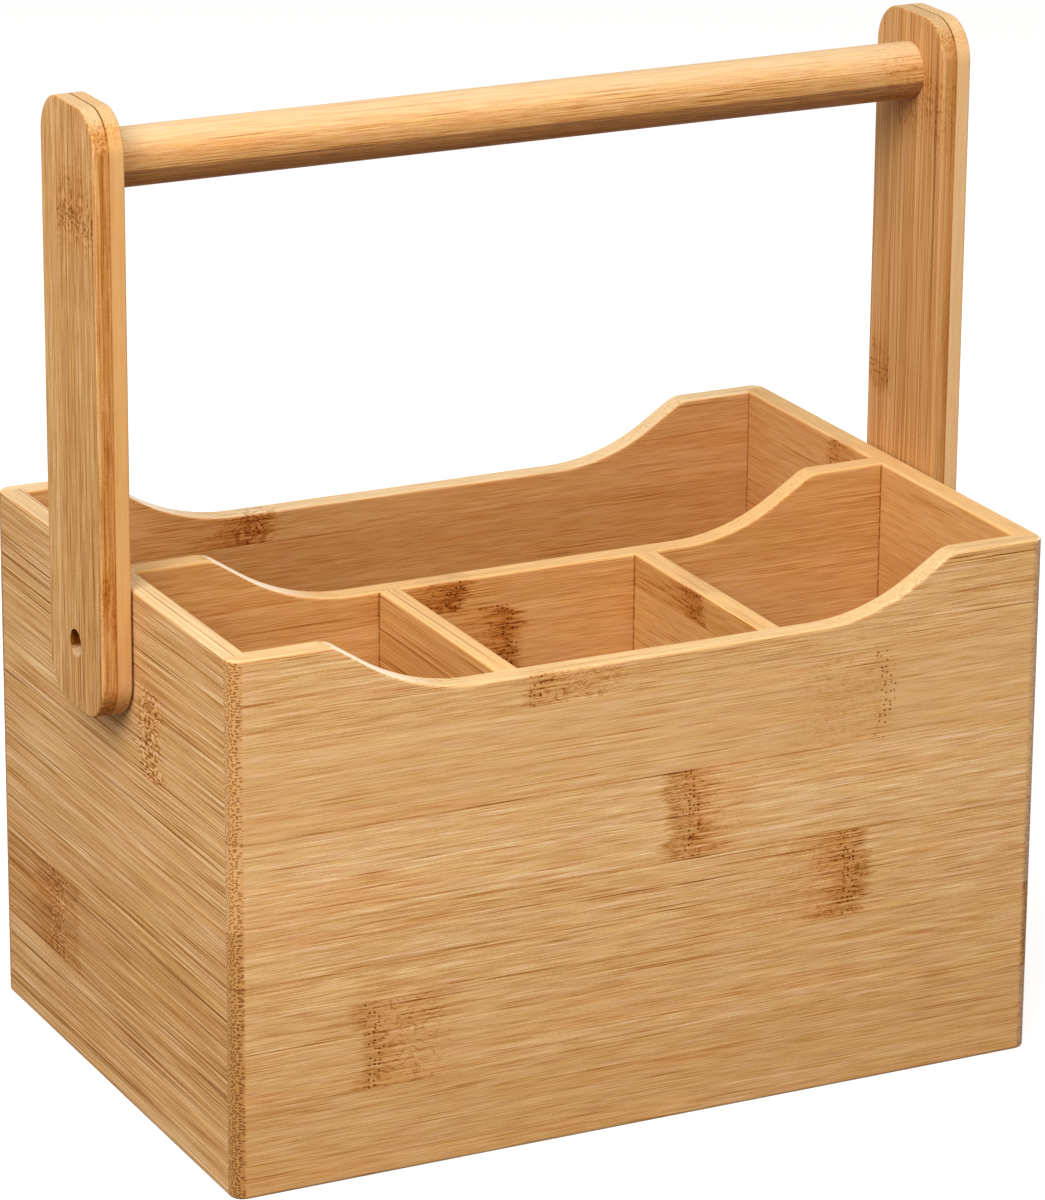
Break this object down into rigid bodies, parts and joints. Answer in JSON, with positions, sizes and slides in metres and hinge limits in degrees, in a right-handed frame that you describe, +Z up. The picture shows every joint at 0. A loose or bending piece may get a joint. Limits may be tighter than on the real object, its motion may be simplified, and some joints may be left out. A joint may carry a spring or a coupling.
{
  "type": "cutlery caddy",
  "caption": "Open bamboo cutlery caddy: dipped long sides, a long rear compartment, small front compartments and a round grip on two arms that swing at the ends.",
  "frame": {"origin": "on the table, under the middle of the box", "axes": "+Z up, +X along the long side towards the right end, -Y towards the front with the small compartments"},
  "size_m": [0.2692, 0.169, 0.2885],
  "materials": {
    "bamboo_long_board": "plain-pressed caramel bamboo, fine sanded and oiled, strips along the length",
    "bamboo_end_board": "plain-pressed caramel bamboo, fine sanded and oiled, strips along the depth",
    "bamboo_inner_board": "plain-pressed caramel bamboo, fine sanded and oiled",
    "bamboo_base": "plain-pressed caramel bamboo",
    "bamboo_arm_dark_ply": "bamboo ply with the dark outer fibres on its edge, fine sanded and oiled",
    "bamboo_arm_pale_ply": "paler bamboo ply, fine sanded and oiled",
    "bamboo_grip": "turned bamboo rod, fine sanded and oiled",
    "screw_steel": "zinc plated",
    "washer_nylon": "natural nylon"
  },
  "bodies": {
    "box": {"front_panel": "bamboo_long_board", "back_panel": "bamboo_long_board", "left_end_panel": "bamboo_end_board", "right_end_panel": "bamboo_end_board", "centre_divider": "bamboo_inner_board", "left_partition": "bamboo_inner_board", "right_partition": "bamboo_inner_board", "base_panel": "bamboo_base", "left_pivot_screw": "screw_steel", "right_pivot_screw": "screw_steel", "left_spacer_washer": "washer_nylon", "right_spacer_washer": "washer_nylon"},
    "handle": {"left_arm_outer_ply": "bamboo_arm_dark_ply", "left_arm_inner_ply": "bamboo_arm_pale_ply", "right_arm_outer_ply": "bamboo_arm_pale_ply", "right_arm_inner_ply": "bamboo_arm_dark_ply", "grip_dowel": "bamboo_grip"}
  },
  "joints": [
    {"name": "handle_swing", "type": "hinge", "parent": "box", "child": "handle", "pos_m": [0, 0, 0.1355], "axis": [1, 0, 0], "range_deg": [-136, 136]}
  ]
}
